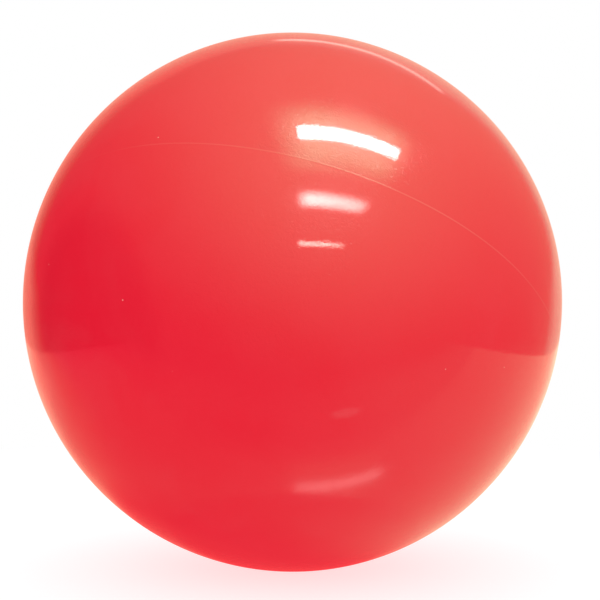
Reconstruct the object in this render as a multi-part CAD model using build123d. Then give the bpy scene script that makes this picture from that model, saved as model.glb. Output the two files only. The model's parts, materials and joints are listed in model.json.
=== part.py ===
from build123d import *
import math
import os

# Inflatable vinyl dodgeball: a one-piece moulded skin, and a needle valve made of a sleeve and a stopper.
# Millimetres, +Z up. The ball lies on a level surface at z = 0, flattened a little by its own weight,
# and the origin is the middle of the patch that it rests on.
# The valve axis runs through the ball's centre and leans from +Z towards +Y.

# Ball
BALL_DIAMETER = 216.0
WALL = 2.0
REST_PATCH_DIAMETER = 22.0
VALVE_LEAN = 33.3  # degrees

# Raised lines left by the mould: one round the middle, where its halves meet, and one round the valve
PARTING_LINE_WIDTH = 0.7
PARTING_LINE_HEIGHT = 0.15
VALVE_RING_DIAMETER = 28.0
VALVE_RING_WIDTH = 1.0
VALVE_RING_HEIGHT = 0.25
MOUTH_ROUNDING = 0.4  # round the edge of the valve's hole

# Boss inside the skin that carries the valve
BOSS_RISE = 4.0  # above the inside of the wall
BOSS_FACE_DIAMETER = 24.0
BOSS_FLARE = 4.0  # how much wider its radius is where it meets the wall

# Sleeve: a rim outside the boss, a neck through it and a barbed end behind it
RIM_DIAMETER = 15.0
RIM_THICKNESS = 1.6
RIM_SETBACK = 0.3  # below the ball's surface
RIM_ROUNDING = 0.4
NECK_DIAMETER = 11.0
BARB_DIAMETER = 17.0
BARB_LENGTH = 6.0
SLEEVE_FLOOR = 1.8
SLEEVE_CLEARANCE = 0.05

# Stopper: a head, a shank and two lips with a slit between them
HEAD_DIAMETER = 9.4
HEAD_THICKNESS = 1.4
HEAD_SETBACK = 0.5  # below the ball's surface
HEAD_ROUNDING = 0.35
SHANK_DIAMETER = 6.6
SHANK_LENGTH = 12.0
LIP_DIAMETER = 4.6
LIP_LENGTH = 3.0
LIP_EDGE = 0.9  # thickness of the two lips together at their tip
LIP_CLEARANCE = 0.4
STOPPER_CLEARANCE = 0.05
STOPPER_END_GAP = 0.3

# Needle port in the stopper
NEEDLE_DIAMETER = 2.0
NEEDLE_CLEARANCE = 0.1
NEEDLE_PORT_DEPTH = 8.0
LEAD_IN_DIAMETER = 4.4
LEAD_IN_DEPTH = 1.2
SLIT_GAP = 0.1
SLIT_WIDTH = 3.2

# Heights along the valve axis, from the ball's centre
ball_radius = BALL_DIAMETER / 2
rim_seat = ball_radius - RIM_SETBACK - RIM_THICKNESS
boss_face = ball_radius - WALL - BOSS_RISE
head_top = ball_radius - HEAD_SETBACK
head_seat = head_top - HEAD_THICKNESS
shank_end = head_seat - SHANK_LENGTH
sleeve_floor_top = shank_end - STOPPER_END_GAP
sleeve_end = sleeve_floor_top - SLEEVE_FLOOR
lip_end = shank_end - LIP_LENGTH
port_end = head_top - NEEDLE_PORT_DEPTH

centre_height = math.sqrt(ball_radius**2 - (REST_PATCH_DIAMETER / 2) ** 2)
place = Pos(0, 0, centre_height) * Rot(-VALVE_LEAN, 0, 0)


def round_bar(diameter, low, high):
    """A cylinder on the valve axis between two heights."""
    return Pos(0, 0, low) * Cylinder(diameter / 2, high - low, align=(Align.CENTER, Align.CENTER, Align.MIN))


def taper(low_diameter, high_diameter, low, high):
    """A cone on the valve axis between two heights."""
    cone = Cone(low_diameter / 2, high_diameter / 2, high - low, align=(Align.CENTER, Align.CENTER, Align.MIN))
    return Pos(0, 0, low) * cone


def mould_line(circle_diameter, width, height):
    """A raised line on the ball round the valve axis: the part of a ring of round section that stands proud."""
    section_radius = (width**2 / 4 + height**2) / (2 * height)
    reach = ball_radius + height - section_radius
    sine = circle_diameter / BALL_DIAMETER
    cosine = math.sqrt(1 - sine**2)
    return Pos(0, 0, reach * cosine) * Torus(reach * sine, section_radius)


def space_below(height):
    """Everything under a level plane, in the ball's own frame."""
    block = Box(2 * BALL_DIAMETER, 2 * BALL_DIAMETER, BALL_DIAMETER, align=(Align.CENTER, Align.CENTER, Align.MAX))
    return place.inverse() * Pos(0, 0, height) * block


def edges_at_radius(solid, radius):
    """The round edges of a turned solid that lie at one radius from the valve axis, highest last."""
    circles = solid.edges().filter_by(GeomType.CIRCLE)
    return [edge for edge in circles.sort_by(Axis.Z) if abs(edge.radius - radius) < 1e-4]


def make_shell():
    """The skin: a ball with its mould lines and rest patch, less the air space and the valve's hole."""
    outside = Sphere(ball_radius)
    outside += mould_line(BALL_DIAMETER, PARTING_LINE_WIDTH, PARTING_LINE_HEIGHT)
    outside += mould_line(VALVE_RING_DIAMETER, VALVE_RING_WIDTH, VALVE_RING_HEIGHT)
    outside -= space_below(0)
    boss = taper(BOSS_FACE_DIAMETER, BOSS_FACE_DIAMETER + 2 * BOSS_FLARE, boss_face, ball_radius)
    air = Sphere(ball_radius - WALL) - space_below(WALL) - boss
    hole = round_bar(NECK_DIAMETER + 2 * SLEEVE_CLEARANCE, boss_face - BOSS_RISE, ball_radius)
    mouth_diameter = RIM_DIAMETER + 2 * SLEEVE_CLEARANCE
    hole += round_bar(mouth_diameter, rim_seat, ball_radius + RIM_THICKNESS)
    shell = outside - air - hole
    return fillet(edges_at_radius(shell, mouth_diameter / 2)[-1], MOUTH_ROUNDING)


def make_sleeve():
    """The bush that the boss holds between its rim and its barb, with the stopper's pocket in it."""
    rim = round_bar(RIM_DIAMETER, rim_seat, ball_radius) & Sphere(ball_radius - RIM_SETBACK)
    rim = fillet(edges_at_radius(rim, RIM_DIAMETER / 2)[-1], RIM_ROUNDING)
    sleeve = rim + round_bar(NECK_DIAMETER, sleeve_end, rim_seat)
    sleeve += taper(NECK_DIAMETER, BARB_DIAMETER, boss_face - BARB_LENGTH, boss_face)
    sleeve -= round_bar(HEAD_DIAMETER + 2 * STOPPER_CLEARANCE, head_seat, ball_radius)
    sleeve -= round_bar(SHANK_DIAMETER + 2 * STOPPER_CLEARANCE, sleeve_floor_top, head_seat)
    sleeve -= round_bar(LIP_DIAMETER + 2 * LIP_CLEARANCE, sleeve_end, sleeve_floor_top)
    return sleeve


def make_stopper():
    """The rubber stopper: a needle goes down its port and parts the lips, which close again behind it."""
    head = round_bar(HEAD_DIAMETER, head_seat, ball_radius) & Sphere(head_top)
    head = fillet(edges_at_radius(head, HEAD_DIAMETER / 2)[-1], HEAD_ROUNDING)
    wedge = Polygon(
        (-LIP_DIAMETER / 2, shank_end),
        (LIP_DIAMETER / 2, shank_end),
        (LIP_EDGE / 2, lip_end),
        (-LIP_EDGE / 2, lip_end),
        align=None,
    )
    lips = extrude(Plane.XZ * wedge, LIP_DIAMETER, both=True) & round_bar(LIP_DIAMETER, lip_end, shank_end)
    stopper = head + round_bar(SHANK_DIAMETER, shank_end, head_seat) + lips
    port_diameter = NEEDLE_DIAMETER + 2 * NEEDLE_CLEARANCE
    stopper -= round_bar(port_diameter, port_end, ball_radius)
    stopper -= taper(port_diameter, LEAD_IN_DIAMETER, head_top - LEAD_IN_DEPTH, head_top)
    slit_length = port_end - lip_end
    stopper -= Pos(0, 0, (port_end + lip_end) / 2) * Box(SLIT_GAP, SLIT_WIDTH, slit_length)
    return stopper


pieces = {
    "ball_shell": make_shell(),
    "valve_sleeve": make_sleeve(),
    "valve_stopper": make_stopper(),
}
os.makedirs("parts", exist_ok=True)
for node, solid in pieces.items():
    export_step(place * solid, f"parts/{node}.step")
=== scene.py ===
import json
import math

import bpy
import numpy as np
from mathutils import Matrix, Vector


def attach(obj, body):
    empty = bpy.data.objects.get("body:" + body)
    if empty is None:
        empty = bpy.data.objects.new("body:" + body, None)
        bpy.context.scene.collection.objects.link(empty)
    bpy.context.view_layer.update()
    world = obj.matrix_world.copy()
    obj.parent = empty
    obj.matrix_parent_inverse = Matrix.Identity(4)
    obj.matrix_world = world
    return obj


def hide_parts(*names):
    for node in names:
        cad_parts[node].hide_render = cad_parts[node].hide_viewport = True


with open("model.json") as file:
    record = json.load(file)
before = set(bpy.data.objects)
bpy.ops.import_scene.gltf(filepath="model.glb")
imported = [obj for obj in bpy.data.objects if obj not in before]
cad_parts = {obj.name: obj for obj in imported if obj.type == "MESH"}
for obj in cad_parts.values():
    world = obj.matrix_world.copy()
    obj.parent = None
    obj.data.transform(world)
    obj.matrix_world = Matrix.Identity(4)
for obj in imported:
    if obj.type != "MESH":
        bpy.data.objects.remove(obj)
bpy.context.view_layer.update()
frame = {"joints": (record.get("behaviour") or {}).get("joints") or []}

# Sizes are in millimetres, as in the part, and every mesh is turned to metres as it is made.
MM = 0.001

# Ball
BALL_DIAMETER = 216.0
WALL = 2.0
REST_PATCH_DIAMETER = 22.0
ROUNDNESS_ERROR = 0.12  # how far a blown-up skin strays from a true ball

# Raised lines left by the mould
PARTING_LINE_WIDTH = 0.9
PARTING_LINE_HEIGHT = 0.03
VALVE_RING_DIAMETER = 28.0
VALVE_RING_WIDTH = 1.2
VALVE_RING_HEIGHT = 0.25

# Hole for the valve, and the boss inside the skin that carries it
MOUTH_DIAMETER = 15.1
MOUTH_ROUNDING = 0.4
NECK_HOLE_DIAMETER = 11.1
BOSS_RISE = 4.0
BOSS_FACE_DIAMETER = 24.0
BOSS_FLARE = 4.0

# Valve sleeve
RIM_DIAMETER = 15.0
RIM_THICKNESS = 1.6
RIM_SETBACK = 0.3
RIM_ROUNDING = 0.4
NECK_DIAMETER = 11.0
BARB_DIAMETER = 17.0
BARB_LENGTH = 6.0
BARB_ROUNDING = 0.3
HEAD_POCKET_DIAMETER = 9.5
SHANK_BORE_DIAMETER = 6.7
LIP_HOLE_DIAMETER = 5.4
SLEEVE_FLOOR = 1.8
SLEEVE_ROUNDING = 0.2

# Valve stopper
HEAD_DIAMETER = 9.4
HEAD_THICKNESS = 1.4
HEAD_SETBACK = 0.5
HEAD_ROUNDING = 0.35
SHANK_DIAMETER = 6.6
SHANK_LENGTH = 12.0
SHANK_ROUNDING = 0.3
LIP_DIAMETER = 4.6
LIP_LENGTH = 3.0
LIP_EDGE = 0.9
STOPPER_END_GAP = 0.3
PORT_DIAMETER = 2.2
PORT_DEPTH = 8.0
LEAD_IN_DIAMETER = 4.4
LEAD_IN_DEPTH = 1.2
SLIT_GAP = 0.1
SLIT_WIDTH = 3.2

# How finely the surfaces are cut
SKIN_TURNS = 288
SKIN_ROWS = 180
INNER_ROWS = 48
LINE_ROWS = 15
LINE_REACH = 0.6  # how far the closer rows go from a raised line's middle, in widths of the line
VALVE_TURNS = 96
ROUNDING_ROWS = 6
SHARP_EDGE = math.radians(35)

# Camera: where the photograph was taken from, and the ball's place in its 600 by 600 pixels
VIEW_AZIMUTH = math.radians(28.8)
VIEW_ELEVATION = math.radians(2.0)
VIEW_DISTANCE = 648.0
LENS = 95.7
SENSOR = 36.0
IMAGE_SIZE = 600
BALL_MIDDLE_PIXEL = (292.6, 302.2)

# Studio: a table with the ball on it and level lamps above, laid out as the camera sees them.
# Right of the ball's middle, towards the camera and upwards are positive.
# A lamp's row holds its left and right ends, its far and near sides, its turn in degrees, its colour, its
# brightness, how much of that is left at its right end, and the width of its soft edge.
LAMP_HEIGHT = 620.0
LAMPS = {
    "main_lamp": (10, 443, 175, 265, 5.0, "#fffaf3", 30.0, 1.0, 12.0),
    "main_lamp_glow": (-105, 545, 10, 515, 5.0, "#58ffc4", 4.0, 0.75, 190.0),
    "front_lamp": (2, 500, 595, 815, 0.0, "#fffaf3", 22.0, 0.45, 105.0),
    "far_lamp": (30, 535, 1285, 1425, 0.0, "#fff6e8", 24.0, 0.45, 65.0),
    "back_lamp": (-60, 480, -800, -665, 0.0, "#fff0e4", 1.3, 0.8, 45.0),
}
TABLE_LEFT, TABLE_RIGHT = -480.0, 450.0
TABLE_FAR, TABLE_NEAR = -1200.0, 300.0

# The table as the camera sees it: white, and near the ball a grey that its own light and the room's make
# white, apart from the ball's shadow
SHADOW_REACH = 150.0, 420.0  # how far from the ball's foot its shadow starts to fade, and where it has gone
SHADED_LIGHT, SHADED_GREY = 0.68, "#b4b4b4"

# Soft light that falls on the ball from straight above, from straight below and from the table
ZENITH_FILL, NADIR_FILL, TABLE_FILL = 1.06, 0.94, 0.94

# The room as the ball's gloss shows it: red walls that are paler on the right, the yellowish glow of the
# lamps on the ceiling, a dark doorway on the left, and behind the ball a backdrop that is paler on its right.
# Directions are the parts of a unit arrow to the right, away from the camera and up. The edges of the glow
# and of the doorway are cosines of the angle from their middles. The backdrop's sizes are shares of its
# distance behind the ball.
WALL_LEFT, WALL_RIGHT, WALL_FADE = "#d01d36", "#f17564", (-0.69, 0.61)
GLOW_COLOUR, GLOW_STRENGTH = "#d4ffc8", 1.83
GLOW_MIDDLE, GLOW_EDGE, GLOW_FALLOFF = (0.238, -0.471, 0.85), -0.9, 3.7
DOORWAY_MIDDLE, DOORWAY_EDGE, DOORWAY_LIGHT = (-0.976, 0.08, -0.2), (0.74, 0.87), 0.35
BACKDROP_LEFT, BACKDROP_RIGHT = "#ff927c", "#ffc3a9"
BACKDROP_WIDTH, BACKDROP_SIDE_BLUR = 0.44, 0.47
BACKDROP_TOP, BACKDROP_TOP_BLUR = 0.78, 0.54
BACKDROP_FLARE, BACKDROP_FLARE_TOP = 0.29, 0.1  # how much wider it gets at its foot, and where that starts
PALE_SIDE = 0.21  # how far to the right it is palest
LEAST_BEHIND = 0.001  # stands in for the distance behind the ball in directions that don't go there

# The table as the ball's gloss shows it, with light and shade painted into its colour: dark on its far left,
# pale on its right and at its back, with the ball's shadow painted on it, which glows red. Places are
# measured to the right of the ball's foot and away from the camera.
TABLE_DARK, TABLE_DIM, TABLE_PALE, TABLE_BACK = "#d84a60", "#fb7567", "#ffc9a7", "#fda188"
PALE_FROM, PALE_TO = -69.0, 162.0
BACK_FROM, BACK_TO = -240.0, 185.0
BACK_LEFT_FROM, BACK_LEFT_TO = -450.0, -200.0  # where the back's colour fades on its left
BACK_SLANT = 0.6  # how far that place moves left for each step back
TABLE_SHADOW_MIDDLE = (-27.0, 12.0, 0.0)
TABLE_SHADOW_EDGE = 56.0, 97.0
TABLE_SHADOW_COLOUR = "#f54649"
TABLE_CARD_COLOUR = "#fff0dc"  # a small pale card that lies in front of the ball
TABLE_CARD_MIDDLE, TABLE_CARD_SIZE = (55.0, -172.0, 0.0), (22.0, 10.0, 1.0)
TABLE_CARD_CORE = 0.4  # the share of the card's size inside its soft edge
NEAR_EDGE_BLUR = 130.0
GLOSSY_TO, DULL_FROM = 115.0, 140.0  # how far its gloss reaches in front of the ball
LACQUER_LEVEL, LACQUER_ROUGHNESS, LACQUER_IOR = 0.5, 0.14, 1.7

# Places along the valve's axis, measured from the ball's middle
ball_radius = BALL_DIAMETER / 2
inner_radius = ball_radius - WALL
rim_top = ball_radius - RIM_SETBACK
rim_seat = rim_top - RIM_THICKNESS
boss_face = inner_radius - BOSS_RISE
head_top = ball_radius - HEAD_SETBACK
head_seat = head_top - HEAD_THICKNESS
shank_end = head_seat - SHANK_LENGTH
sleeve_floor_top = shank_end - STOPPER_END_GAP
sleeve_end = sleeve_floor_top - SLEEVE_FLOOR
lip_end = shank_end - LIP_LENGTH
port_end = head_top - PORT_DEPTH

# The valve's own frame: its third axis is the way that the stopper pulls out
centre_height = math.sqrt(ball_radius**2 - (REST_PATCH_DIAMETER / 2) ** 2)
ball_centre = np.array([0.0, 0.0, centre_height])
valve_axis = np.array(frame["joints"][0]["axis"])
valve_side = np.array([1.0, 0.0, 0.0])
valve_frame = np.array([valve_side, np.cross(valve_axis, valve_side), valve_axis])

# The photographer's frame: to the right, towards the camera and up
to_right = np.array([math.cos(VIEW_AZIMUTH), math.sin(VIEW_AZIMUTH), 0.0])
to_camera = np.array([math.sin(VIEW_AZIMUTH), -math.cos(VIEW_AZIMUTH), 0.0])
upwards = np.array([0.0, 0.0, 1.0])


# Surfaces


def arc(radius, height, rounding, start, end):
    """Points of a profile on a circle round (radius, height), between two angles from the valve axis."""
    angles = np.linspace(start, end, ROUNDING_ROWS)
    return np.stack([radius + rounding * np.sin(angles), height + rounding * np.cos(angles)], axis=1)


def domed_edge(dome, radius, rounding, outwards):
    """The rounded edge between a dome about the ball's middle and a round wall, from the dome to the wall.

    The rounding's own middle lies inside the dome by the rounding, and beside the wall by the same.
    """
    middle_radius = radius - rounding if outwards else radius + rounding
    middle_height = math.sqrt((dome - rounding) ** 2 - middle_radius**2)
    start = math.asin(middle_radius / (dome - rounding))
    return arc(middle_radius, middle_height, rounding, start, math.pi / 2 if outwards else -math.pi / 2)


def rings(profile, turns, half_gap=None):
    """Turns a profile of radius and height about the valve axis: one ring of points for each of its points.

    Where half_gap is given, each ring is pressed flat between two walls that far from the axis.
    """
    angles = np.linspace(0.0, 2.0 * math.pi, turns, endpoint=False)
    radius, height = profile[:, :1], profile[:, 1:]
    across = radius * np.cos(angles)
    along = radius * np.sin(angles)
    if half_gap is not None:
        across = np.clip(across, -half_gap[:, None], half_gap[:, None])
    return np.stack([across, along, np.broadcast_to(height, across.shape)], axis=2)


def in_place(points):
    """Points of the valve's own frame, moved to where the ball lies."""
    return ball_centre + points @ valve_frame


def grid_piece(name, grid, poles=None):
    """A mesh through a grid of points: each row of it is a ring, and quads join every ring to the next.

    With two poles, triangles close the first and the last ring. Without them the last ring meets the first.
    """
    rows, turns, _ = grid.shape
    corner = np.arange(rows * turns).reshape(rows, turns)
    beside = np.roll(corner, -1, axis=1)
    quads = np.stack([corner, beside, np.roll(beside, -1, axis=0), np.roll(corner, -1, axis=0)], axis=2)
    points = grid.reshape(-1, 3)
    triangles = np.empty((0, 3), int)
    if poles is not None:
        quads = quads[:-1]
        first = np.full(turns, len(points))
        low_fan = np.stack([first, beside[0], corner[0]], axis=1)
        high_fan = np.stack([first + 1, corner[-1], beside[-1]], axis=1)
        triangles = np.concatenate([low_fan, high_fan])
        points = np.concatenate([points, poles])
    mesh = bpy.data.meshes.new(name)
    mesh.from_pydata((points * MM).tolist(), [], quads.reshape(-1, 4).tolist() + triangles.tolist())
    mesh.shade_smooth()
    mesh.set_sharp_from_angle(angle=SHARP_EDGE)
    piece = bpy.data.objects.new(name, mesh)
    bpy.context.scene.collection.objects.link(piece)
    return piece


def raised_line(angle, line_angle, width):
    """How much of a raised line's height there is at an angle from the valve axis: one wave of a cosine."""
    offset = np.clip((angle - line_angle) * ball_radius / (width / 2), -1.0, 1.0)
    return 0.5 + 0.5 * np.cos(math.pi * offset)


def row_angles(start, end, count, lines):
    """Angles from start to end, evenly spaced, with more of them across each raised line."""
    rows = [np.linspace(start, end, count)]
    for line_angle, width in lines:
        reach = LINE_REACH * width / ball_radius
        rows.append(np.linspace(line_angle - reach, line_angle + reach, LINE_ROWS))
    return np.unique(np.concatenate(rows))


def make_ball_skin():
    """The skin: a ball turned about the valve axis, outer wall, valve hole and inner wall in one surface.

    The outer radius is the ball's, plus the parting line half way down, whose height wavers round the ball,
    plus the ring round the valve, plus a slow unevenness. Where the ball rests, both walls are pressed level.
    """
    parting_angle = math.pi / 2
    ring_angle = math.asin(VALVE_RING_DIAMETER / BALL_DIAMETER)
    mouth = domed_edge(ball_radius, MOUTH_DIAMETER / 2, MOUTH_ROUNDING, outwards=False)
    mouth_angle = math.atan2(*mouth[0])
    lines = ((parting_angle, PARTING_LINE_WIDTH), (ring_angle, VALVE_RING_WIDTH))
    row_gap = math.pi / SKIN_ROWS
    outer = row_angles(mouth_angle + row_gap / 4, math.pi - row_gap, SKIN_ROWS, lines)[::-1]
    outer_wall = np.stack([np.sin(outer), np.cos(outer)], axis=1) * ball_radius

    # The boss is a cone. Its foot is its radius carried on to the level of the ball's middle, and from there
    # its side runs up to where it meets the inner wall.
    flare = BOSS_FLARE / (ball_radius - boss_face)
    foot = BOSS_FACE_DIAMETER / 2 - flare * boss_face
    boss_top = (math.sqrt((1 + flare**2) * inner_radius**2 - foot**2) - flare * foot) / (1 + flare**2)
    boss_side = foot + flare * boss_top
    hole = np.array([
        (MOUTH_DIAMETER / 2, rim_seat),
        (NECK_HOLE_DIAMETER / 2, rim_seat),
        (NECK_HOLE_DIAMETER / 2, boss_face),
        (BOSS_FACE_DIAMETER / 2, boss_face),
    ])
    inner = np.linspace(math.atan2(boss_side, boss_top), math.pi - row_gap, INNER_ROWS)
    inner_wall = np.stack([np.sin(inner), np.cos(inner)], axis=1) * inner_radius

    # The parting line has two high stretches round the ball and small quick waves. The unevenness has three
    # waves round the ball, and none near the valve.
    grid = rings(np.concatenate([outer_wall, mouth, hole, inner_wall]), SKIN_TURNS)
    turn = np.linspace(0.0, 2.0 * math.pi, SKIN_TURNS, endpoint=False)
    stretches = 0.46 + 0.44 * np.cos(2 * turn + 1.4)
    quick_waves = 0.06 * np.sin(7 * turn) + 0.04 * np.sin(19 * turn + 1.0)
    parting = raised_line(outer, parting_angle, PARTING_LINE_WIDTH)[:, None] * (stretches + quick_waves)
    ring = raised_line(outer, ring_angle, VALVE_RING_WIDTH)[:, None]
    calm = np.clip((outer - 2 * ring_angle) / ring_angle, 0.0, 1.0) * np.sin(outer)
    uneven = calm[:, None] * np.sin(2 * outer[:, None] + 0.7) * np.sin(3 * turn + 0.5)
    proud = PARTING_LINE_HEIGHT * parting + VALVE_RING_HEIGHT * ring + ROUNDNESS_ERROR * uneven
    outside = len(outer)
    grid[:outside] *= (1.0 + proud / ball_radius)[:, :, None]

    poles = in_place(np.array([[0.0, 0.0, -ball_radius], [0.0, 0.0, -inner_radius]]))
    grid = in_place(grid)
    grid[:outside, :, 2] = np.maximum(grid[:outside, :, 2], 0.0)
    grid[outside:, :, 2] = np.maximum(grid[outside:, :, 2], WALL)
    skin = grid_piece("ball_skin", grid, poles)

    # A mask of the raised lines, which the vinyl's finish uses for its painted highlight along them.
    line = np.zeros(len(skin.data.vertices))
    line[: outside * SKIN_TURNS] = np.maximum(parting, ring).ravel()
    skin.data.attributes.new("mould_line", "FLOAT", "POINT").data.foreach_set("value", line)
    return skin


def make_valve_sleeve():
    """The sleeve: a closed profile turned about the valve axis, up outside, over its rim, down its bore."""
    neck, bore = NECK_DIAMETER / 2, SHANK_BORE_DIAMETER / 2
    pocket, lip_hole = HEAD_POCKET_DIAMETER / 2, LIP_HOLE_DIAMETER / 2
    barb_middle = BARB_DIAMETER / 2 - BARB_ROUNDING
    neck_middle = neck - SLEEVE_ROUNDING
    profile = np.concatenate([
        [(lip_hole, sleeve_end)],
        arc(neck_middle, sleeve_end + SLEEVE_ROUNDING, SLEEVE_ROUNDING, math.pi, math.pi / 2),
        [(neck, boss_face - BARB_LENGTH)],
        arc(barb_middle, boss_face - BARB_ROUNDING, BARB_ROUNDING, math.pi / 2, 0.0),
        [(neck, boss_face), (neck, rim_seat), (RIM_DIAMETER / 2, rim_seat)],
        domed_edge(rim_top, RIM_DIAMETER / 2, RIM_ROUNDING, outwards=True)[::-1],
        domed_edge(rim_top, pocket, SLEEVE_ROUNDING, outwards=False),
        [(pocket, head_seat), (bore, head_seat), (bore, sleeve_floor_top), (lip_hole, sleeve_floor_top)],
    ])
    return grid_piece("needle_valve_sleeve", in_place(rings(profile, VALVE_TURNS)))


def make_valve_stopper():
    """The stopper: a closed profile turned about the valve axis, up outside, over its head and down its port.

    Below the shank each ring is pressed flat, outside to the two lips, which thin towards their tip, and
    inside to the slit between them.
    """
    shank, port = SHANK_DIAMETER / 2, PORT_DIAMETER / 2
    lip_radius, lip_tip = LIP_DIAMETER / 2, LIP_EDGE / 2
    outside = np.concatenate([
        arc(shank - SHANK_ROUNDING, shank_end + SHANK_ROUNDING, SHANK_ROUNDING, math.pi, math.pi / 2),
        [(shank, head_seat), (HEAD_DIAMETER / 2, head_seat)],
        domed_edge(head_top, HEAD_DIAMETER / 2, HEAD_ROUNDING, outwards=True)[::-1],
        [(LEAD_IN_DIAMETER / 2, head_top), (port, head_top - LEAD_IN_DEPTH), (port, port_end)],
    ])
    slit = np.array([(SLIT_WIDTH / 2, port_end), (SLIT_WIDTH / 2, lip_end)])
    lips = np.array([(lip_radius, lip_end), (lip_radius, shank_end)])
    profile = np.concatenate([outside, slit, lips])
    half_gap = np.concatenate([outside[:, 0], np.full(2, SLIT_GAP / 2), [lip_tip, lip_radius]])
    return grid_piece("needle_valve_stopper", in_place(rings(profile, VALVE_TURNS, half_gap)))


# Materials

COLOUR_A, COLOUR_B, COLOUR_OUT = 6, 7, 2  # the colour sockets of a Mix node


def srgb(code):
    """Turns a hex colour into linear red, green, blue and alpha."""
    parts = [int(code[i : i + 2], 16) / 255 for i in (1, 3, 5)]
    return [p / 12.92 if p <= 0.04045 else ((p + 0.055) / 1.055) ** 2.4 for p in parts] + [1.0]


def per_metre(size):
    """The scale of a pattern whose features are that many millimetres apart."""
    return 1.0 / (size * MM)


def add_node(tree, kind, inputs=None, **settings):
    """Adds a node, sets its settings, and feeds each input named from another node or with a value."""
    node = tree.nodes.new(kind)
    for name, value in settings.items():
        setattr(node, name, value)
    for socket, source in (inputs or {}).items():
        if isinstance(source, bpy.types.NodeSocket):
            tree.links.new(source, node.inputs[socket])
        else:
            node.inputs[socket].default_value = source
    return node


def new_material(name):
    """An empty material, its node tree and the place on the piece in metres."""
    material = bpy.data.materials.new(name)
    material.use_nodes = True
    tree = material.node_tree
    tree.nodes.clear()
    place = add_node(tree, "ShaderNodeTexCoord").outputs["Object"]
    return material, tree, place


def glossy_vinyl():
    """Soft PVC cast in a polished mould: a deep even red under a wet gloss that mirrors lamps crisply.

    Plasticiser and handling leave a film of uneven haze round each lamp, a painted highlight makes the
    parting line and the valve ring paler, and a few specks of dust stand out.
    """
    # The pale red on the raised mould lines is a painted highlight, for light that the lines catch.
    deep_red, bright_red, line_glint_red, dust_colour = "#e91931", "#ed1d35", "#f4716c", "#f7b0a4"
    # The scuffs are drawn coarser than real ones, so that they show.
    blotch_size, film_size, scuff_size, peel_size = 60.0, 22.0, 1.6, 9.0
    rub_depth, scuff_depth, peel_depth = 0.12, 0.011, 0.006
    film_thin, film_thick = 0.4, 0.6
    thin_roughness, thick_roughness = 0.12, 0.265
    line_glint_strength, dust_paleness = 0.35, 0.8
    dust_spacing, dust_radius, dust_core = 17.0, 0.4, 0.16

    material, tree, place = new_material("glossy_vinyl")
    blotches = add_node(
        tree, "ShaderNodeTexNoise", {"Vector": place, "Scale": per_metre(blotch_size), "Detail": 3.0}
    )
    pigment = add_node(
        tree, "ShaderNodeMix",
        {"Factor": blotches.outputs["Fac"], COLOUR_A: srgb(deep_red), COLOUR_B: srgb(bright_red)},
        data_type="RGBA",
    )
    # Painted highlight: along the parting line and the valve ring the red is mixed towards a paler red, for
    # light caught on them.
    line = add_node(tree, "ShaderNodeAttribute", attribute_name="mould_line").outputs["Fac"]
    line_glint_share = add_node(tree, "ShaderNodeMath", {0: line, 1: line_glint_strength}, operation="MULTIPLY")
    line_glinted = add_node(
        tree, "ShaderNodeMix",
        {"Factor": line_glint_share.outputs[0], COLOUR_A: pigment.outputs[COLOUR_OUT], COLOUR_B: srgb(line_glint_red)},
        data_type="RGBA",
    )
    dust = add_node(tree, "ShaderNodeTexVoronoi", {"Vector": place, "Scale": per_metre(dust_spacing)})
    speck = add_node(
        tree, "ShaderNodeMapRange",
        {
            "Value": dust.outputs["Distance"],
            "From Min": dust_radius / dust_spacing,
            "From Max": dust_core / dust_spacing,
            "To Max": dust_paleness,
        },
        interpolation_type="SMOOTHSTEP",
    )
    specked = add_node(
        tree, "ShaderNodeMix",
        {"Factor": speck.outputs[0], COLOUR_A: line_glinted.outputs[COLOUR_OUT], COLOUR_B: srgb(dust_colour)},
        data_type="RGBA",
    )
    film = add_node(
        tree, "ShaderNodeTexNoise",
        {"Vector": place, "Scale": per_metre(film_size), "Detail": 3.0, "Roughness": 0.55, "Distortion": 0.3},
    )
    haze = add_node(
        tree, "ShaderNodeMapRange",
        {
            "Value": film.outputs["Fac"],
            "From Min": film_thin,
            "From Max": film_thick,
            "To Min": thin_roughness,
            "To Max": thick_roughness,
        },
    )
    scuffs = add_node(
        tree, "ShaderNodeTexNoise",
        {"Vector": place, "Scale": per_metre(scuff_size), "Detail": 5.0, "Roughness": 0.6, "Distortion": 1.2},
    )
    rubbed = add_node(
        tree, "ShaderNodeBump",
        {"Height": scuffs.outputs["Fac"], "Strength": 1.0, "Distance": rub_depth * MM},
    )
    peel = add_node(
        tree, "ShaderNodeTexNoise", {"Vector": place, "Scale": per_metre(peel_size), "Detail": 1.0}
    )
    smooth = add_node(
        tree, "ShaderNodeBump",
        {"Height": peel.outputs["Fac"], "Strength": 1.0, "Distance": peel_depth * MM},
    )
    gloss = add_node(
        tree, "ShaderNodeBump",
        {
            "Height": scuffs.outputs["Fac"],
            "Strength": 1.0,
            "Distance": scuff_depth * MM,
            "Normal": smooth.outputs[0],
        },
    )
    shader = add_node(
        tree, "ShaderNodeBsdfPrincipled",
        {
            "Base Color": specked.outputs[COLOUR_OUT],
            "Roughness": haze.outputs[0],
            "IOR": 1.53,
            "Specular IOR Level": 0.1,
            "Normal": rubbed.outputs[0],
            "Coat Weight": 1.0,
            "Coat Roughness": 0.03,
            "Coat IOR": 1.53,
            "Coat Normal": gloss.outputs[0],
        },
    )
    add_node(tree, "ShaderNodeOutputMaterial", {"Surface": shader.outputs[0]})
    return material


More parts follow.
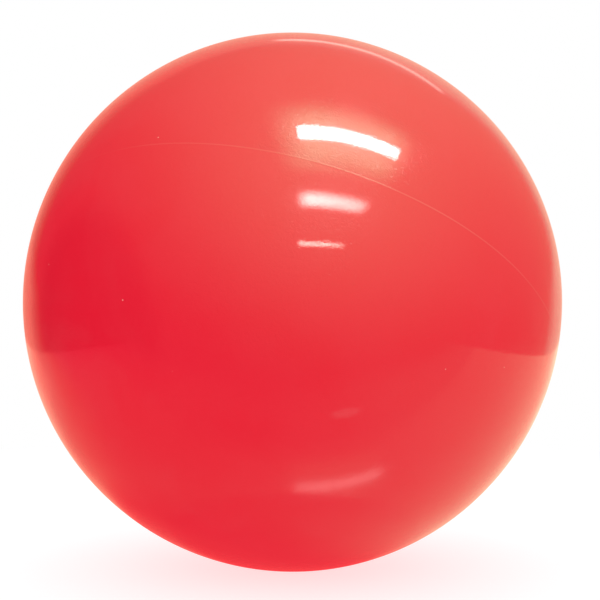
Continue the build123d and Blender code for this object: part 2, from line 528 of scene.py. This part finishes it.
def soft_vinyl():
    """Softer PVC of the valve's sleeve, from a spark-finished mould: a deeper red with a fine satin grain."""
    deep_red, pale_red = "#a8141f", "#c8202e"
    # The grain is drawn coarser than a real one, so that it shows from close by.
    cloud_size, grain_size, grain_depth = 4.0, 0.35, 0.04
    least_roughness, most_roughness = 0.38, 0.56

    material, tree, place = new_material("soft_vinyl")
    clouds = add_node(
        tree, "ShaderNodeTexNoise", {"Vector": place, "Scale": per_metre(cloud_size), "Detail": 4.0}
    )
    tone = add_node(
        tree, "ShaderNodeMix",
        {"Factor": clouds.outputs["Fac"], COLOUR_A: srgb(deep_red), COLOUR_B: srgb(pale_red)},
        data_type="RGBA",
    )
    grain = add_node(
        tree, "ShaderNodeTexNoise", {"Vector": place, "Scale": per_metre(grain_size), "Detail": 2.0}
    )
    gloss = add_node(
        tree, "ShaderNodeMapRange",
        {"Value": grain.outputs["Fac"], "To Min": least_roughness, "To Max": most_roughness},
    )
    bump = add_node(
        tree, "ShaderNodeBump",
        {"Height": grain.outputs["Fac"], "Strength": 1.0, "Distance": grain_depth * MM},
    )
    shader = add_node(
        tree, "ShaderNodeBsdfPrincipled",
        {
            "Base Color": tone.outputs[COLOUR_OUT],
            "Roughness": gloss.outputs[0],
            "IOR": 1.53,
            "Specular IOR Level": 0.3,
            "Normal": bump.outputs[0],
        },
    )
    add_node(tree, "ShaderNodeOutputMaterial", {"Surface": shader.outputs[0]})
    return material


def butyl_rubber():
    """Pressed butyl rubber of the stopper: a dull near-black with a grey bloom of chalk and a dry grain."""
    near_black, chalk_grey = "#1c1c1d", "#55534f"
    # The grain is drawn coarser than a real one, so that it shows from close by.
    bloom_size, grain_size, grain_depth = 2.5, 0.25, 0.03
    bloom_from, bloom_to, most_bloom = 0.45, 0.75, 0.5
    least_roughness, most_roughness = 0.5, 0.8

    material, tree, place = new_material("butyl_rubber")
    bloom = add_node(
        tree, "ShaderNodeTexNoise",
        {"Vector": place, "Scale": per_metre(bloom_size), "Detail": 6.0, "Roughness": 0.65},
    )
    dusting = add_node(
        tree, "ShaderNodeMapRange",
        {
            "Value": bloom.outputs["Fac"],
            "From Min": bloom_from,
            "From Max": bloom_to,
            "To Max": most_bloom,
        },
    )
    tone = add_node(
        tree, "ShaderNodeMix",
        {"Factor": dusting.outputs[0], COLOUR_A: srgb(near_black), COLOUR_B: srgb(chalk_grey)},
        data_type="RGBA",
    )
    grain = add_node(
        tree, "ShaderNodeTexNoise", {"Vector": place, "Scale": per_metre(grain_size), "Detail": 3.0}
    )
    gloss = add_node(
        tree, "ShaderNodeMapRange",
        {"Value": bloom.outputs["Fac"], "To Min": least_roughness, "To Max": most_roughness},
    )
    bump = add_node(
        tree, "ShaderNodeBump",
        {"Height": grain.outputs["Fac"], "Strength": 1.0, "Distance": grain_depth * MM},
    )
    shader = add_node(
        tree, "ShaderNodeBsdfPrincipled",
        {
            "Base Color": tone.outputs[COLOUR_OUT],
            "Roughness": gloss.outputs[0],
            "IOR": 1.52,
            "Specular IOR Level": 0.3,
            "Normal": bump.outputs[0],
        },
    )
    add_node(tree, "ShaderNodeOutputMaterial", {"Surface": shader.outputs[0]})
    return material


def white_table():
    """A white lacquered table top. The camera sees it white, with the ball's soft shadow on it.

    The ball's gloss shows it with light and shade painted in, a colour for each place, and the lamps mirrored
    in its lacquer.
    """
    material, tree, place = new_material("white_table")
    pale = add_node(tree, "ShaderNodeEmission", {"Strength": SHADED_LIGHT})
    shaded = add_node(tree, "ShaderNodeBsdfDiffuse", {"Color": srgb(SHADED_GREY)})
    near_ball = add_node(tree, "ShaderNodeAddShader", {0: pale.outputs[0], 1: shaded.outputs[0]})
    white = add_node(tree, "ShaderNodeEmission", {"Strength": 1.0})
    reach = add_node(tree, "ShaderNodeVectorMath", {0: place}, operation="LENGTH")
    clear = add_node(
        tree, "ShaderNodeMapRange",
        {
            "Value": reach.outputs["Value"],
            "From Min": SHADOW_REACH[0] * MM,
            "From Max": SHADOW_REACH[1] * MM,
        },
        interpolation_type="SMOOTHSTEP",
    )
    seen = add_node(
        tree, "ShaderNodeMixShader",
        {"Fac": clear.outputs[0], 1: near_ball.outputs[0], 2: white.outputs[0]},
    )

    # What the gloss shows: the colour of each place with its painted light and shade, across, at the back, in
    # the painted shadow and on the card
    turned = add_node(tree, "ShaderNodeMapping", {"Vector": place, "Rotation": (0.0, 0.0, -VIEW_AZIMUTH)})
    sides = add_node(tree, "ShaderNodeSeparateXYZ", {0: turned.outputs[0]}).outputs
    dim_share = add_node(
        tree, "ShaderNodeMapRange",
        {"Value": sides["X"], "From Min": TABLE_LEFT * MM, "From Max": -ball_radius * MM},
    )
    dim = add_node(
        tree, "ShaderNodeMix",
        {"Factor": dim_share.outputs[0], COLOUR_A: srgb(TABLE_DARK), COLOUR_B: srgb(TABLE_DIM)},
        data_type="RGBA",
    )
    pale_share = add_node(
        tree, "ShaderNodeMapRange",
        {"Value": sides["X"], "From Min": PALE_FROM * MM, "From Max": PALE_TO * MM},
        interpolation_type="SMOOTHSTEP",
    )
    across = add_node(
        tree, "ShaderNodeMix",
        {"Factor": pale_share.outputs[0], COLOUR_A: dim.outputs[COLOUR_OUT], COLOUR_B: srgb(TABLE_PALE)},
        data_type="RGBA",
    )
    back_share = add_node(
        tree, "ShaderNodeMapRange",
        {"Value": sides["Y"], "From Min": BACK_FROM * MM, "From Max": BACK_TO * MM},
    )
    slanted = add_node(
        tree, "ShaderNodeMath",
        {0: sides["Y"], 1: BACK_SLANT, 2: sides["X"]},
        operation="MULTIPLY_ADD",
    )
    left_share = add_node(
        tree, "ShaderNodeMapRange",
        {"Value": slanted.outputs[0], "From Min": BACK_LEFT_FROM * MM, "From Max": BACK_LEFT_TO * MM},
    )
    back_lit = add_node(
        tree, "ShaderNodeMath",
        {0: back_share.outputs[0], 1: left_share.outputs[0]},
        operation="MULTIPLY",
    )
    back = add_node(
        tree, "ShaderNodeVectorMath",
        {0: srgb(TABLE_BACK)[:3], "Scale": back_lit.outputs[0]},
        operation="SCALE",
    )
    lit = add_node(
        tree, "ShaderNodeVectorMath",
        {0: across.outputs[COLOUR_OUT], 1: back.outputs[0]},
        operation="MAXIMUM",
    )
    apart = add_node(
        tree, "ShaderNodeVectorMath",
        {0: turned.outputs[0], 1: [size * MM for size in TABLE_SHADOW_MIDDLE]},
        operation="DISTANCE",
    )
    clear_share = add_node(
        tree, "ShaderNodeMapRange",
        {
            "Value": apart.outputs["Value"],
            "From Min": TABLE_SHADOW_EDGE[0] * MM,
            "From Max": TABLE_SHADOW_EDGE[1] * MM,
        },
        interpolation_type="SMOOTHSTEP",
    )
    shadowed = add_node(
        tree, "ShaderNodeMix",
        {"Factor": clear_share.outputs[0], COLOUR_A: srgb(TABLE_SHADOW_COLOUR), COLOUR_B: lit.outputs[0]},
        data_type="RGBA",
    )
    on_card = add_node(
        tree, "ShaderNodeMapping",
        {
            "Vector": turned.outputs[0],
            "Location": [size * MM for size in TABLE_CARD_MIDDLE],
            "Scale": [size * MM for size in TABLE_CARD_SIZE],
        },
        vector_type="TEXTURE",
    )
    card_reach = add_node(tree, "ShaderNodeVectorMath", {0: on_card.outputs[0]}, operation="LENGTH")
    card_share = add_node(
        tree, "ShaderNodeMapRange",
        {"Value": card_reach.outputs["Value"], "From Min": 1.0, "From Max": TABLE_CARD_CORE},
        interpolation_type="SMOOTHSTEP",
    )
    laid = add_node(
        tree, "ShaderNodeMix",
        {
            "Factor": card_share.outputs[0],
            COLOUR_A: shadowed.outputs[COLOUR_OUT],
            COLOUR_B: srgb(TABLE_CARD_COLOUR),
        },
        data_type="RGBA",
    )
    top = add_node(tree, "ShaderNodeEmission", {"Color": laid.outputs[COLOUR_OUT]})

    # The lacquer over that colour, and the table's blurred near edge
    glossy_share = add_node(
        tree, "ShaderNodeMapRange",
        {
            "Value": sides["Y"],
            "From Min": -DULL_FROM * MM,
            "From Max": -GLOSSY_TO * MM,
            "To Max": LACQUER_LEVEL,
        },
    )
    lacquer = add_node(
        tree, "ShaderNodeBsdfPrincipled",
        {
            "Base Color": srgb("#000000"),
            "Roughness": LACQUER_ROUGHNESS,
            "IOR": LACQUER_IOR,
            "Specular IOR Level": glossy_share.outputs[0],
        },
    )
    lacquered = add_node(tree, "ShaderNodeAddShader", {0: top.outputs[0], 1: lacquer.outputs[0]})
    beyond = add_node(tree, "ShaderNodeBsdfTransparent")
    edge_share = add_node(
        tree, "ShaderNodeMapRange",
        {
            "Value": sides["Y"],
            "From Min": -TABLE_NEAR * MM,
            "From Max": (NEAR_EDGE_BLUR - TABLE_NEAR) * MM,
        },
        interpolation_type="SMOOTHSTEP",
    )
    mirrored = add_node(
        tree, "ShaderNodeMixShader",
        {"Fac": edge_share.outputs[0], 1: beyond.outputs[0], 2: lacquered.outputs[0]},
    )

    bounce = add_node(tree, "ShaderNodeEmission", {"Strength": TABLE_FILL})
    path = add_node(tree, "ShaderNodeLightPath").outputs
    unseen = add_node(
        tree, "ShaderNodeMixShader",
        {"Fac": path["Is Glossy Ray"], 1: bounce.outputs[0], 2: mirrored.outputs[0]},
    )
    mixed = add_node(
        tree, "ShaderNodeMixShader",
        {"Fac": path["Is Camera Ray"], 1: unseen.outputs[0], 2: seen.outputs[0]},
    )
    add_node(tree, "ShaderNodeOutputMaterial", {"Surface": mixed.outputs[0]})
    return material


# Studio


def make_table():
    """A level rectangle in the photographer's frame."""
    ends = (TABLE_LEFT, TABLE_RIGHT, TABLE_RIGHT, TABLE_LEFT)
    depths = (TABLE_NEAR, TABLE_NEAR, TABLE_FAR, TABLE_FAR)
    corners = [end * to_right + depth * to_camera for end, depth in zip(ends, depths)]
    mesh = bpy.data.meshes.new("table_top")
    mesh.from_pydata((np.array(corners) * MM).tolist(), [], [(0, 1, 2, 3)])
    table = bpy.data.objects.new("table_top", mesh)
    bpy.context.scene.collection.objects.link(table)
    mesh.materials.append(white_table())


def make_lamp(name, left, right, far, near, turn, colour, brightness, right_share, soft_edge):
    """A level lamp that only the gloss shows, fading at its edges and towards its right end."""
    width, depth = (right - left) * MM, (near - far) * MM
    light = bpy.data.lights.new(name, "AREA")
    light.shape = "RECTANGLE"
    light.size, light.size_y = width, depth
    light.energy = brightness * math.pi * width * depth
    light.use_nodes = True
    tree = light.node_tree
    tree.nodes.clear()
    across = add_node(tree, "ShaderNodeNewGeometry").outputs["Parametric"]
    sides = add_node(tree, "ShaderNodeSeparateXYZ", {0: across}).outputs
    fades = []
    for side, size in (("X", width), ("Y", depth)):
        inside = add_node(tree, "ShaderNodeMath", {0: sides[side], 1: 0.5}, operation="PINGPONG")
        fade = add_node(
            tree, "ShaderNodeMapRange",
            {"Value": inside.outputs[0], "From Max": soft_edge * MM / size},
            interpolation_type="SMOOTHSTEP",
        )
        fades.append(fade.outputs[0])
    edged = add_node(tree, "ShaderNodeMath", {0: fades[0], 1: fades[1]}, operation="MULTIPLY")
    along = add_node(
        tree, "ShaderNodeMapRange", {"Value": sides["X"], "To Min": 1.0, "To Max": right_share}
    )
    strength = add_node(
        tree, "ShaderNodeMath", {0: edged.outputs[0], 1: along.outputs[0]}, operation="MULTIPLY"
    )
    glow = add_node(tree, "ShaderNodeEmission", {"Color": srgb(colour), "Strength": strength.outputs[0]})
    add_node(tree, "ShaderNodeOutputLight", {0: glow.outputs[0]})
    lamp = bpy.data.objects.new(name, light)
    level_place = to_right * (left + right) / 2 + to_camera * (far + near) / 2
    lamp.location = Vector((ball_centre + level_place + upwards * LAMP_HEIGHT) * MM)
    lamp.rotation_euler = (0.0, 0.0, VIEW_AZIMUTH + math.radians(turn))
    lamp.visible_camera = False
    lamp.visible_diffuse = False
    bpy.context.scene.collection.objects.link(lamp)


def make_world():
    """The room: white to the camera, an even soft light on the ball, and the walls that its gloss shows."""
    world = bpy.data.worlds.new("studio_room")
    bpy.context.scene.world = world
    world.use_nodes = True
    tree = world.node_tree
    tree.nodes.clear()
    direction = add_node(tree, "ShaderNodeTexCoord").outputs["Generated"]
    turned = add_node(
        tree, "ShaderNodeMapping", {"Vector": direction, "Rotation": (0.0, 0.0, -VIEW_AZIMUTH)}
    ).outputs[0]
    axes = add_node(tree, "ShaderNodeSeparateXYZ", {0: turned}).outputs

    # Backdrop: an upright sheet behind the ball, with blurred sides and top, that flares at its foot
    behind = add_node(tree, "ShaderNodeMath", {0: axes["Y"], 1: LEAST_BEHIND}, operation="MAXIMUM")
    aside = add_node(tree, "ShaderNodeMath", {0: axes["X"], 1: behind.outputs[0]}, operation="DIVIDE")
    above = add_node(tree, "ShaderNodeMath", {0: axes["Z"], 1: behind.outputs[0]}, operation="DIVIDE")
    sideways = add_node(tree, "ShaderNodeMath", {0: aside.outputs[0]}, operation="ABSOLUTE")
    flare = add_node(
        tree, "ShaderNodeMapRange",
        {
            "Value": above.outputs[0],
            "From Min": BACKDROP_FLARE_TOP,
            "From Max": 0.0,
            "To Max": BACKDROP_FLARE,
        },
    )
    off_middle = add_node(
        tree, "ShaderNodeMath", {0: sideways.outputs[0], 1: flare.outputs[0]}, operation="SUBTRACT"
    )
    in_width = add_node(
        tree, "ShaderNodeMapRange",
        {
            "Value": off_middle.outputs[0],
            "From Min": BACKDROP_WIDTH + BACKDROP_SIDE_BLUR,
            "From Max": BACKDROP_WIDTH,
        },
    )
    in_height = add_node(
        tree, "ShaderNodeMapRange",
        {
            "Value": above.outputs[0],
            "From Min": BACKDROP_TOP + BACKDROP_TOP_BLUR,
            "From Max": BACKDROP_TOP,
        },
    )
    in_sheet = add_node(
        tree, "ShaderNodeMath", {0: in_width.outputs[0], 1: in_height.outputs[0]}, operation="MULTIPLY"
    )
    pale_share = add_node(
        tree, "ShaderNodeMapRange",
        {"Value": aside.outputs[0], "From Min": -BACKDROP_WIDTH, "From Max": PALE_SIDE},
    )
    sheet = add_node(
        tree, "ShaderNodeMix",
        {"Factor": pale_share.outputs[0], COLOUR_A: srgb(BACKDROP_LEFT), COLOUR_B: srgb(BACKDROP_RIGHT)},
        data_type="RGBA",
    )
    backdrop = add_node(
        tree, "ShaderNodeVectorMath",
        {0: sheet.outputs[COLOUR_OUT], "Scale": in_sheet.outputs[0]},
        operation="SCALE",
    )

    # Walls, with the ceiling's glow on them and the doorway in them
    facing = add_node(tree, "ShaderNodeVectorMath", {0: turned, 1: GLOW_MIDDLE}, operation="DOT_PRODUCT")
    nearness = add_node(
        tree, "ShaderNodeMapRange", {"Value": facing.outputs["Value"], "From Min": GLOW_EDGE}
    )
    falloff = add_node(tree, "ShaderNodeMath", {0: nearness.outputs[0], 1: GLOW_FALLOFF}, operation="POWER")
    strength = add_node(
        tree, "ShaderNodeMath", {0: falloff.outputs[0], 1: GLOW_STRENGTH}, operation="MULTIPLY"
    )
    glow = add_node(
        tree, "ShaderNodeVectorMath",
        {0: srgb(GLOW_COLOUR)[:3], "Scale": strength.outputs[0]},
        operation="SCALE",
    )
    wall_share = add_node(
        tree, "ShaderNodeMapRange",
        {"Value": axes["X"], "From Min": WALL_FADE[0], "From Max": WALL_FADE[1]},
    )
    walls = add_node(
        tree, "ShaderNodeMix",
        {"Factor": wall_share.outputs[0], COLOUR_A: srgb(WALL_LEFT), COLOUR_B: srgb(WALL_RIGHT)},
        data_type="RGBA",
    )
    room = add_node(
        tree, "ShaderNodeVectorMath",
        {0: glow.outputs[0], 1: walls.outputs[COLOUR_OUT]},
        operation="ADD",
    )
    towards = add_node(tree, "ShaderNodeVectorMath", {0: turned, 1: DOORWAY_MIDDLE}, operation="DOT_PRODUCT")
    doorway = add_node(
        tree, "ShaderNodeMapRange",
        {
            "Value": towards.outputs["Value"],
            "From Min": DOORWAY_EDGE[0],
            "From Max": DOORWAY_EDGE[1],
            "To Min": 1.0,
            "To Max": DOORWAY_LIGHT,
        },
        interpolation_type="SMOOTHSTEP",
    )
    opened = add_node(
        tree, "ShaderNodeVectorMath", {0: room.outputs[0], "Scale": doorway.outputs[0]}, operation="SCALE"
    )
    shown = add_node(
        tree, "ShaderNodeVectorMath", {0: opened.outputs[0], 1: backdrop.outputs[0]}, operation="MAXIMUM"
    )
    mirrored = add_node(tree, "ShaderNodeBackground", {"Color": shown.outputs[0]})

    # What each kind of ray meets
    fill = add_node(
        tree, "ShaderNodeMapRange",
        {"Value": axes["Z"], "From Min": -1.0, "To Min": NADIR_FILL, "To Max": ZENITH_FILL},
    )
    lit = add_node(
        tree, "ShaderNodeBackground", {"Color": srgb("#ffffff"), "Strength": fill.outputs[0]}
    )
    white = add_node(tree, "ShaderNodeBackground", {"Color": srgb("#ffffff"), "Strength": 1.0})
    path = add_node(tree, "ShaderNodeLightPath").outputs
    unseen = add_node(
        tree, "ShaderNodeMixShader",
        {"Fac": path["Is Glossy Ray"], 1: lit.outputs[0], 2: mirrored.outputs[0]},
    )
    straight = add_node(
        tree, "ShaderNodeMath",
        {0: path["Is Camera Ray"], 1: path["Is Transmission Ray"]},
        operation="MAXIMUM",
    )
    seen = add_node(
        tree, "ShaderNodeMixShader",
        {"Fac": straight.outputs[0], 1: unseen.outputs[0], 2: white.outputs[0]},
    )
    add_node(tree, "ShaderNodeOutputWorld", {0: seen.outputs[0]})


def make_camera():
    """A camera at the photograph's angle, shifted a little so that the ball lies where it does there."""
    data = bpy.data.cameras.new("photo_camera")
    data.lens = LENS
    data.sensor_width = SENSOR
    data.shift_x = (IMAGE_SIZE / 2 - BALL_MIDDLE_PIXEL[0]) / IMAGE_SIZE
    data.shift_y = (BALL_MIDDLE_PIXEL[1] - IMAGE_SIZE / 2) / IMAGE_SIZE
    camera = bpy.data.objects.new("photo_camera", data)
    back = to_camera * math.cos(VIEW_ELEVATION) + upwards * math.sin(VIEW_ELEVATION)
    camera.location = Vector((ball_centre + back * VIEW_DISTANCE) * MM)
    camera.rotation_mode = "QUATERNION"
    camera.rotation_quaternion = Vector(-back).to_track_quat("-Z", "Y")
    bpy.context.scene.collection.objects.link(camera)
    bpy.context.scene.camera = camera


# Assembly

for make_piece, finish, body, node, slot in (
    (make_ball_skin, glossy_vinyl, "ball", "ball_shell", "vinyl_skin"),
    (make_valve_sleeve, soft_vinyl, "ball", "valve_sleeve", "soft_vinyl"),
    (make_valve_stopper, butyl_rubber, "stopper", "valve_stopper", "butyl_rubber"),
):
    piece = make_piece()
    piece.data.materials.append(finish())
    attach(piece, body)
    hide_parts(node)

make_table()
for lamp_name, lamp_row in LAMPS.items():
    make_lamp(lamp_name, *lamp_row)
make_world()
make_camera()
bpy.context.scene.view_settings.view_transform = "Standard"

bpy.context.view_layer.update()
